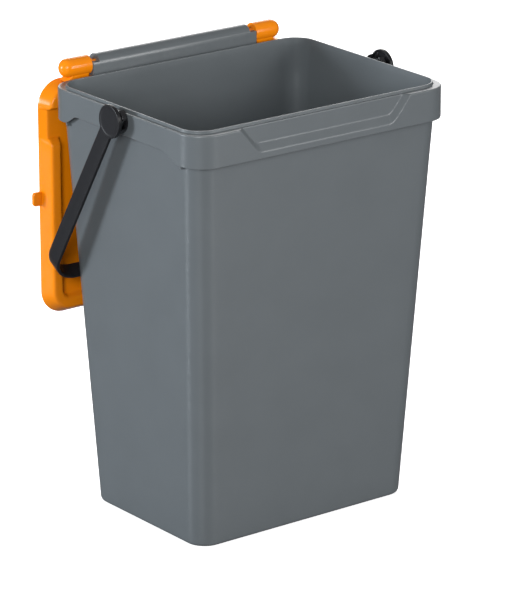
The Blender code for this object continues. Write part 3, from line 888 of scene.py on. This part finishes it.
def grip_lean():
    """The handle's lean from straight down and its grip's depth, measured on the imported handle."""
    end_x = (ARM_X + STRAP / 2 - FRAME_BEND) * MM
    places = [v.co for v in frame["nodes"]["handle"].data.vertices if abs(abs(v.co.x) - end_x) < 0.2 * MM]
    if not places:
        raise RuntimeError("the packed handle has no section at the end of its bend")
    centre = sum(places, Vector()) / len(places) / MM - PIVOT
    lean = math.atan2(centre.y, -centre.z)
    across = Vector((0.0, math.cos(lean), math.sin(lean)))
    depth = 2.0 * max((place / MM - PIVOT - centre).dot(across) for place in places)
    return lean, depth


def strap_path(grip_depth):
    """Stations along the bent strap: the centre line's X and Z, its outward normal and its width."""
    half, bend, low = ARM_X + STRAP / 2, HANDLE_BEND, -HANDLE_LENGTH
    turn_steps, arm_steps = 30, 12
    stations = []
    for step in range(arm_steps):
        stations.append((half, mix(STRAP_TOP, low + bend, step / arm_steps), (1.0, 0.0), STRAP_WIDTH))
    for step in range(turn_steps + 1):
        angle = math.pi / 2 * step / turn_steps
        normal = (math.cos(angle), -math.sin(angle))
        place_x, place_z = half - bend + bend * normal[0], low + bend + bend * normal[1]
        stations.append((place_x, place_z, normal, mix(STRAP_WIDTH, grip_depth, step / turn_steps)))
    mirrored = [(-x, z, (-normal[0], normal[1]), width) for x, z, normal, width in reversed(stations)]
    return stations + mirrored


def handle_body(sizes, grip_depth):
    rings = []
    for x, z, normal, width in strap_path(grip_depth):
        section = ring(STRAP / 2, -width / 2, width / 2, sizes.strap_round / MM, ([0.0], [0.0], [0.0]), 5)
        rings.append([(x + out * normal[0], across, z + out * normal[1]) for out, across in section])
    made = loft("handle_body", rings)
    for side in (-1.0, 1.0):
        web_x = ARM_X + 1.3
        stations = [
            (ARM_X - 0.05, 1.0, 0.0),
            (ARM_X - 0.05, 7.6, 0.5),
            (web_x, 8.0, 0.5),
            (web_x, HUB_RADIUS - 2.6, 0.6),
            (ARM_X - 0.1, HUB_RADIUS - 2.2, 0.6),
            (ARM_X - 0.1, HUB_RADIUS, 0.9),
            (HUB_OUTER, HUB_RADIUS, 1.1),
            (HUB_OUTER, HUB_RADIUS - 2.4, 0.8),
            (HUB_OUTER - 0.4, HUB_RADIUS - 4.0, 1.4),
            (HUB_OUTER - 0.4, 0.5, 0.0),
        ]
        combine(made, turned(f"hub_{side:+.0f}", stations, side, steps=96), "UNION")
        ends = ARM_X - OVERCUT, ARM_X + PIVOT_BLIND + GAP
        bore(made, f"hub_bore_{side:+.0f}", *ends, PIVOT_PIN + GAP, side)
    return settle(made)


def spoke():
    """One spoke on a hub's inner face, standing on a ring about X."""
    half_length, half, low, high = 4.6, 0.9, -1.0, 0.5
    section = [(-half, low), (half, low), (half * 0.7, high), (-half * 0.7, high)]
    made = prism("spoke", section, "Y", -half_length, half_length)
    round_edges(made, 0.3, segments=2)
    return settle(made)


# Collars and pins


def collar(side, name):
    """A collar round a boss: a thin flange with claws, a slot on top for the lug, and windows."""
    pivot = Matrix.Translation(PIVOT * MM)
    face, end = COLLAR_LOW.x, COLLAR_HIGH.x
    stations = [(face, COLLAR_RADIUS, 0.0), (end, COLLAR_RADIUS, 0.0)]
    made = turned(name, stations, side, pivot, steps=96)
    bore(made, f"{name}_bore", face - OVERCUT, end + OVERCUT, BOSS_RADIUS + GAP, side, pivot, phase=0.0)
    reach = COLLAR_RADIUS + OVERCUT
    half, floor = LUG_HALF + 2 * GAP, HINGE.z - LID_SEAT - PIVOT.z - 2 * GAP
    section = [(-half, floor), (half, floor), (half, reach), (-half, reach)]
    ends = side * (face - OVERCUT), side * (end + OVERCUT)
    combine(made, prism(f"{name}_slot", section, "X", *ends, place=pivot), "DIFFERENCE")
    low, high = COLLAR_WINDOW
    section = [(-reach, low), (reach, low), (reach, high), (-reach, high)]
    ends = side * (face + COLLAR_FLANGE), side * (end + OVERCUT)
    combine(made, prism(f"{name}_window", section, "X", *ends, place=pivot), "DIFFERENCE")
    settle(made)
    face_outwards(made.data)
    return settle(round_edges(made, 0.35, segments=3, angle=40.0))


def pivot_pin(side, name, lean):
    head = RIM_X - SKIRT - GAP
    stations = [
        (head - PIVOT_HEAD_LENGTH, 1.0, 0.0),
        (head - PIVOT_HEAD_LENGTH, PIVOT_HEAD, 0.5),
        (head, PIVOT_HEAD, 0.2),
        (head, PIVOT_PIN, 0.2),
        (ARM_X + PIVOT_BLIND, PIVOT_PIN, 0.4),
        (ARM_X + PIVOT_BLIND, 1.0, 0.0),
    ]
    place = Matrix.Translation(PIVOT * MM) @ Matrix.Rotation(lean, 4, "X")
    return turned(name, stations, side, place)


def hinge_pin(side, name):
    inner, outer = BAR_HALF - PIN_IN_BAR, KNUCKLE_START + PIN_IN_KNUCKLE
    stations = [
        (inner, 1.0, 0.0),
        (inner, PIN_RADIUS - 1.0, 0.3),
        (inner + 1.0, PIN_RADIUS, 0.5),
        (outer, PIN_RADIUS, 0.5),
        (outer, 1.0, 0.0),
    ]
    return turned(name, stations, side, Matrix.Translation(HINGE * MM))


# Finishes


def grain_group():
    """Fine moulded grain and a slow variation of tone, on object coordinates."""
    tree, inside, outside = node_tree("moulded grain", "ShaderNodeTree", [
        ("Grain Size", "NodeSocketFloat", 0.0006),
        ("Flow Size", "NodeSocketFloat", 0.05),
    ], [("Height", "NodeSocketFloat", None), ("Tone", "NodeSocketFloat", None)])
    nodes, links = tree.nodes, tree.links
    place = nodes.new("ShaderNodeTexCoord")
    outputs = []
    for size, detail in (("Grain Size", 2.0), ("Flow Size", 3.0)):
        scale = nodes.new("ShaderNodeMath")
        scale.operation = "DIVIDE"
        scale.inputs[0].default_value = 1.0
        noise = nodes.new("ShaderNodeTexNoise")
        noise.inputs["Detail"].default_value = detail
        noise.inputs["Roughness"].default_value = 0.55
        links.new(inside.outputs[size], scale.inputs[1])
        links.new(scale.outputs[0], noise.inputs["Scale"])
        links.new(place.outputs["Object"], noise.inputs["Vector"])
        outputs.append(noise.outputs["Fac"])
    links.new(outputs[0], outside.inputs["Height"])
    links.new(outputs[1], outside.inputs["Tone"])
    return tree


def mask_group(name, attribute, size, low, high):
    """A mask from a stored value of the surface, broken up by noise, times an amount."""
    tree, inside, outside = node_tree(name, "ShaderNodeTree", [
        ("Amount", "NodeSocketFloat", 0.3),
    ], [("Mask", "NodeSocketFloat", None)])
    nodes, links = tree.nodes, tree.links
    stored = nodes.new("ShaderNodeAttribute")
    stored.attribute_name = attribute
    place = nodes.new("ShaderNodeTexCoord")
    noise = nodes.new("ShaderNodeTexNoise")
    noise.inputs["Scale"].default_value = 1.0 / size
    noise.inputs["Detail"].default_value = 6.0
    noise.inputs["Roughness"].default_value = 0.65
    spread = nodes.new("ShaderNodeMapRange")
    spread.inputs["From Min"].default_value = low
    spread.inputs["From Max"].default_value = high
    joined = nodes.new("ShaderNodeMath")
    joined.operation = "MULTIPLY"
    scaled = nodes.new("ShaderNodeMath")
    scaled.operation = "MULTIPLY"
    scaled.use_clamp = True
    links.new(place.outputs["Object"], noise.inputs["Vector"])
    links.new(noise.outputs["Fac"], spread.inputs["Value"])
    links.new(spread.outputs["Result"], joined.inputs[0])
    links.new(stored.outputs["Fac"], joined.inputs[1])
    links.new(joined.outputs[0], scaled.inputs[0])
    links.new(inside.outputs["Amount"], scaled.inputs[1])
    links.new(scaled.outputs[0], outside.inputs["Mask"])
    return tree


def shared_groups():
    """The node groups that every finish uses, built once."""
    groups = bpy.data.node_groups
    return {
        "grain": groups.get("moulded grain") or grain_group(),
        # the edge mask pales sharp edges: partly rubbed wear, partly a painted highlight
        "wear_and_highlight": groups.get("edge wear") or mask_group("edge wear", "edge", 0.012, 0.35, 0.70),
        "dust": groups.get("settled dust") or mask_group("settled dust", "shelf", 0.03, 0.30, 0.80),
    }


def blend_colour(tree, share, first, second):
    """Mixes two colours, each a value or a socket, by a share that is a socket."""
    step = tree.nodes.new("ShaderNodeMix")
    step.data_type = "RGBA"
    tree.links.new(share, step.inputs["Factor"])
    colours = [socket for socket in step.inputs if socket.type == "RGBA"]
    for socket, colour in zip(colours, (first, second)):
        if isinstance(colour, bpy.types.NodeSocket):
            tree.links.new(colour, socket)
        else:
            socket.default_value = (*colour, 1.0)
    return next(socket for socket in step.outputs if socket.type == "RGBA")


def moulded_plastic(name, colour, roughness, grain=0.0006, depth=0.02, wear_and_highlight=0.25, dust=0.05, gleam=0.5):
    """A moulded plastic: slow change of tone, fine grain, edges paled as rubbed wear and painted highlight,
    and a trace of dust.
    """
    made = bpy.data.materials.new(name)
    made.use_nodes = True
    tree = made.node_tree
    shader = tree.nodes["Principled BSDF"]
    shader.inputs["Metallic"].default_value = 0.0
    shader.inputs["IOR"].default_value = 1.49
    shader.inputs["Specular IOR Level"].default_value = gleam
    placed = {}
    for key, group in shared_groups().items():
        node = tree.nodes.new("ShaderNodeGroup")
        node.node_tree = group
        placed[key] = node
    placed["grain"].inputs["Grain Size"].default_value = grain
    placed["wear_and_highlight"].inputs["Amount"].default_value = wear_and_highlight
    placed["dust"].inputs["Amount"].default_value = dust
    tone = placed["grain"].outputs["Tone"]
    dark, light = ([channel * share for channel in colour] for share in (0.94, 1.06))
    # paler colour on sharp edges: partly rubbed wear, partly a painted highlight
    rubbed_and_lit = [mix(channel, 0.75, 0.16) for channel in colour]
    base = blend_colour(tree, tone, dark, light)
    base = blend_colour(tree, placed["wear_and_highlight"].outputs["Mask"], base, rubbed_and_lit)
    base = blend_colour(tree, placed["dust"].outputs["Mask"], base, (0.55, 0.53, 0.50))
    tree.links.new(base, shader.inputs["Base Color"])
    drift = 0.03
    gloss = tree.nodes.new("ShaderNodeMapRange")
    gloss.inputs["To Min"].default_value = roughness - drift
    gloss.inputs["To Max"].default_value = roughness + drift
    tree.links.new(tone, gloss.inputs["Value"])
    rough = tree.nodes.new("ShaderNodeMath")
    rough.operation = "ADD"
    rough.use_clamp = True
    tree.links.new(gloss.outputs["Result"], rough.inputs[0])
    tree.links.new(placed["dust"].outputs["Mask"], rough.inputs[1])
    tree.links.new(rough.outputs[0], shader.inputs["Roughness"])
    bump = tree.nodes.new("ShaderNodeBump")
    bump.inputs["Strength"].default_value = depth
    bump.inputs["Distance"].default_value = grain
    tree.links.new(placed["grain"].outputs["Height"], bump.inputs["Height"])
    tree.links.new(bump.outputs["Normal"], shader.inputs["Normal"])
    return made


# Operators


class BIN_OT_build_tub(bpy.types.Operator):
    """Build the moulded tub with its rim, finger recess, bosses and hinge bar"""

    bl_idname = "waste_bin.build_tub"
    bl_label = "Build tub"

    def execute(self, context):
        sizes = context.scene.bin_tub
        finish = moulded_plastic("grey_tub_plastic", sizes.colour, sizes.roughness)
        complete(tub_body(sizes), finish, "tub", ["tub"])
        return {"FINISHED"}


class BIN_OT_build_lid(bpy.types.Operator):
    """Build the hanging lid with its border, notches, knuckles, lugs and underside ribs"""

    bl_idname = "waste_bin.build_lid"
    bl_label = "Build lid"

    def execute(self, context):
        sizes = context.scene.bin_lid
        finish = moulded_plastic(
            "orange_lid_plastic", sizes.colour, sizes.roughness, wear_and_highlight=0.1, dust=0.02, gleam=0.3,
        )
        made = lid_body(sizes)
        hang(made)
        complete(made, finish, "lid", ["lid"])
        self.build_ribs(sizes, finish)
        return {"FINISHED"}

    def build_ribs(self, sizes, finish):
        edge = LID_PANEL + LID_WALL + 0.5
        low_y, high_y = edge + LID_FRONT_EXTRA - LID_FRONT, -LID_REAR - edge - LID_REAR_RELIEF
        length = 2 * (RIM_X - edge)
        row = repeat_tree("repeat in a row", scatter_in_row)
        gap = (high_y - low_y) / (sizes.rib_count + 1)
        place = Matrix.Translation(Vector((0.0, low_y + gap, -LID_WALL)) * MM)
        ribs = repeated(
            "lid_ribs", row, lid_rib(length, RIB_DEPTH, RIB_THICK, "X"), sizes.rib_count, finish,
            path=((0.0, 0.0, 0.0),), step=(0.0, gap, 0.0), place=place,
        )
        around = repeat_tree("repeat on a ring", scatter_on_ring)
        path = [(x, y, 0.0) for x, y in ring(
            RIM_X, -LID_FRONT, -LID_REAR, RIM_RADIUS, ([0.0], [0.0], [0.0]), steps=16)]
        near, far = LID_NOTCH
        gap = -far - 2 * LID_NOTCH_SLOPE, -near + 2 * LID_NOTCH_SLOPE
        webs = repeated("lid_webs", around, border_web(), sizes.web_count, finish, path=path, gap=gap)
        for made in (ribs, webs):
            hang(made)
            complete(made, finish, "lid")


class BIN_OT_build_hinge_pins(bpy.types.Operator):
    """Build the two pins that join the lid's knuckles to the hinge bar"""

    bl_idname = "waste_bin.build_hinge_pins"
    bl_label = "Build hinge pins"

    def execute(self, context):
        sizes = context.scene.bin_lid
        finish = moulded_plastic("orange_pin_plastic", sizes.colour, sizes.roughness + 0.05, wear_and_highlight=0.4)
        for side, word in ((-1.0, "left"), (1.0, "right")):
            made = hinge_pin(side, f"hinge_pin_{word}_body")
            complete(made, finish, "lid", [f"hinge_pin_{word}"])
        return {"FINISHED"}


class BIN_OT_build_handle(bpy.types.Operator):
    """Build the bail handle with its hubs and their spokes"""

    bl_idname = "waste_bin.build_handle"
    bl_label = "Build handle"

    def execute(self, context):
        sizes = context.scene.bin_handle
        finish = moulded_plastic(
            "black_handle_plastic", sizes.colour, sizes.roughness, wear_and_highlight=0.05, dust=0.02, gleam=0.3,
        )
        lean, grip_depth = grip_lean()
        place = Matrix.Translation(PIVOT * MM) @ Matrix.Rotation(lean, 4, "X")
        made = handle_body(sizes, grip_depth)
        made.data.transform(place)
        complete(made, finish, "handle", ["handle"])
        around = repeat_tree("spokes on a ring", scatter_on_ring)
        radius = (HUB_RADIUS + 5.0) / 2
        circle = [
            (radius * math.cos(math.tau * step / 96), radius * math.sin(math.tau * step / 96), 0.0)
            for step in range(96)
        ]
        for side, word in ((-1.0, "left"), (1.0, "right")):
            flat = Matrix.Translation(Vector((side * (ARM_X + 1.0), 0.0, 0.0)) * MM)
            turn = Matrix.Rotation(-side * math.pi / 2, 4, "Y")
            made = repeated(
                f"hub_spokes_{word}", around, spoke(), sizes.spoke_count, finish,
                path=circle, place=place @ flat @ turn,
            )
            complete(made, finish, "handle")
        return {"FINISHED"}


class BIN_OT_build_pivots(bpy.types.Operator):
    """Build the slotted collars and the pins that the handle turns on"""

    bl_idname = "waste_bin.build_pivots"
    bl_label = "Build pivots"

    def execute(self, context):
        sizes = context.scene.bin_handle
        gloss = moulded_plastic("black_collar_plastic", sizes.colour, 0.2, depth=0.008, wear_and_highlight=0.1)
        plain = moulded_plastic("black_pin_plastic", sizes.colour, sizes.roughness, wear_and_highlight=0.3)
        lean = grip_lean()[0]
        for side, word in ((-1.0, "left"), (1.0, "right")):
            made = collar(side, f"pivot_collar_{word}_body")
            complete(made, gloss, "tub", [f"pivot_collar_{word}"])
            made = pivot_pin(side, f"pivot_pin_{word}_body", lean)
            complete(made, plain, "handle", [f"pivot_pin_{word}"])
        return {"FINISHED"}


class BIN_OT_build_studio(bpy.types.Operator):
    """Build the pale floor, the soft lights, the white surroundings and the camera"""

    bl_idname = "waste_bin.build_studio"
    bl_label = "Build studio"

    def execute(self, context):
        studio = context.scene.bin_studio
        context.scene.view_settings.view_transform = "Standard"
        self.build_floor(studio)
        self.build_lights(studio)
        self.build_surroundings(context, studio)
        self.build_camera(context, studio)
        return {"FINISHED"}

    def build_floor(self, studio):
        """A pale floor that the camera sees as near white and that throws little light back."""
        half = 6.0
        mesh = bpy.data.meshes.new("floor")
        corners = [(-half, -half, 0.0), (half, -half, 0.0), (half, half, 0.0), (-half, half, 0.0)]
        mesh.from_pydata(corners, [], [(0, 1, 2, 3)])
        floor = to_object("floor", mesh)
        finish = bpy.data.materials.new("pale_floor")
        finish.use_nodes = True
        tree = finish.node_tree
        shader = tree.nodes["Principled BSDF"]
        seen = tree.nodes.new("ShaderNodeLightPath").outputs["Is Camera Ray"]
        dim, pale = (0.20, 0.20, 0.21), (0.9, 0.9, 0.91)
        tree.links.new(blend_colour(tree, seen, dim, pale), shader.inputs["Base Color"])
        glow = tree.nodes.new("ShaderNodeMath")
        glow.operation = "MULTIPLY"
        glow.inputs[1].default_value = studio.floor_glow
        tree.links.new(seen, glow.inputs[0])
        tree.links.new(glow.outputs[0], shader.inputs["Emission Strength"])
        shader.inputs["Emission Color"].default_value = (1.0, 1.0, 1.0, 1.0)
        shader.inputs["Roughness"].default_value = 0.4
        mesh.materials.append(finish)

    def build_lights(self, studio):
        for name, place, size, colour, share in (
            ("left", (-2.6, 1.3, 0.8), 0.6, (0.88, 0.94, 1.0), 0.52),
            ("front", (1.3, -3.2, 1.2), 1.5, (1.0, 1.0, 1.0), 0.58),
            ("corner", (-2.2, -1.8, 1.35), 1.0, (0.97, 0.99, 1.0), 0.42),
            ("back", (2.3, 3.0, 1.5), 2.5, (1.0, 1.0, 1.0), 0.60),
        ):
            lamp = bpy.data.lights.new(name, "AREA")
            lamp.shape = "SQUARE"
            lamp.size = size
            lamp.color = colour
            lamp.energy = studio.key_power * share
            made = bpy.data.objects.new(name, lamp)
            made.location = place
            aim = Vector((0.0, 0.0, 0.25)) - made.location
            made.rotation_euler = aim.to_track_quat("-Z", "Y").to_euler()
            bpy.context.scene.collection.objects.link(made)

    def build_surroundings(self, context, studio):
        """Surroundings that the camera sees as white, and that light the bin softly."""
        world = bpy.data.worlds.new("white_surroundings")
        world.use_nodes = True
        tree = world.node_tree
        background = tree.nodes["Background"]
        background.inputs["Color"].default_value = (1.0, 1.0, 1.0, 1.0)
        rays = tree.nodes.new("ShaderNodeLightPath")
        lighting = tree.nodes.new("ShaderNodeMapRange")
        lighting.inputs["To Min"].default_value = studio.sky
        lighting.inputs["To Max"].default_value = studio.gleam
        strength = tree.nodes.new("ShaderNodeMapRange")
        strength.inputs["To Max"].default_value = 1.0
        tree.links.new(rays.outputs["Is Glossy Ray"], lighting.inputs["Value"])
        tree.links.new(lighting.outputs["Result"], strength.inputs["To Min"])
        tree.links.new(rays.outputs["Is Camera Ray"], strength.inputs["Value"])
        tree.links.new(strength.outputs["Result"], background.inputs["Strength"])
        context.scene.world = world

    def build_camera(self, context, studio):
        aim = Vector((0.0113, -0.0087, 0.2351))
        azimuth, elevation = math.radians(studio.azimuth), math.radians(studio.elevation)
        back = Vector((
            math.sin(azimuth) * math.cos(elevation),
            -math.cos(azimuth) * math.cos(elevation),
            math.sin(elevation),
        ))
        lens = bpy.data.cameras.new("camera")
        lens.lens = studio.lens
        lens.sensor_width = 36.0
        camera = bpy.data.objects.new("camera", lens)
        camera.location = aim + back * studio.distance
        camera.rotation_euler = (-back).to_track_quat("-Z", "Y").to_euler()
        context.scene.collection.objects.link(camera)
        context.scene.camera = camera


class BIN_PT_panel(bpy.types.Panel):
    """Lists the bin's settings and the operators that build it"""

    bl_idname = "BIN_PT_panel"
    bl_label = "Waste Bin"
    bl_space_type = "VIEW_3D"
    bl_region_type = "UI"
    bl_category = "Waste Bin"

    def draw(self, context):
        for group_name, operators in PANEL_ROWS:
            box = self.layout.box()
            settings = getattr(context.scene, group_name)
            for key in settings.bl_rna.properties.keys():
                if key not in ("rna_type", "name"):
                    box.prop(settings, key)
            for operator in operators:
                box.operator(operator.bl_idname)


PANEL_ROWS = (
    ("bin_tub", (BIN_OT_build_tub,)),
    ("bin_lid", (BIN_OT_build_lid, BIN_OT_build_hinge_pins)),
    ("bin_handle", (BIN_OT_build_handle, BIN_OT_build_pivots)),
    ("bin_studio", (BIN_OT_build_studio,)),
)
SETTINGS = {
    "bin_tub": BinTubSettings,
    "bin_lid": BinLidSettings,
    "bin_handle": BinHandleSettings,
    "bin_studio": BinStudioSettings,
}
CLASSES = (*SETTINGS.values(), *(operator for _, row in PANEL_ROWS for operator in row), BIN_PT_panel)


def register():
    for item in CLASSES:
        bpy.utils.register_class(item)
    for name, group in SETTINGS.items():
        setattr(bpy.types.Scene, name, PointerProperty(type=group))


def unregister():
    for name in SETTINGS:
        delattr(bpy.types.Scene, name)
    for item in reversed(CLASSES):
        bpy.utils.unregister_class(item)


def main():
    register()
    bpy.ops.waste_bin.build_studio()
    bpy.ops.waste_bin.build_tub()
    bpy.ops.waste_bin.build_lid()
    bpy.ops.waste_bin.build_hinge_pins()
    bpy.ops.waste_bin.build_handle()
    bpy.ops.waste_bin.build_pivots()


if __name__ == "__main__":
    main()
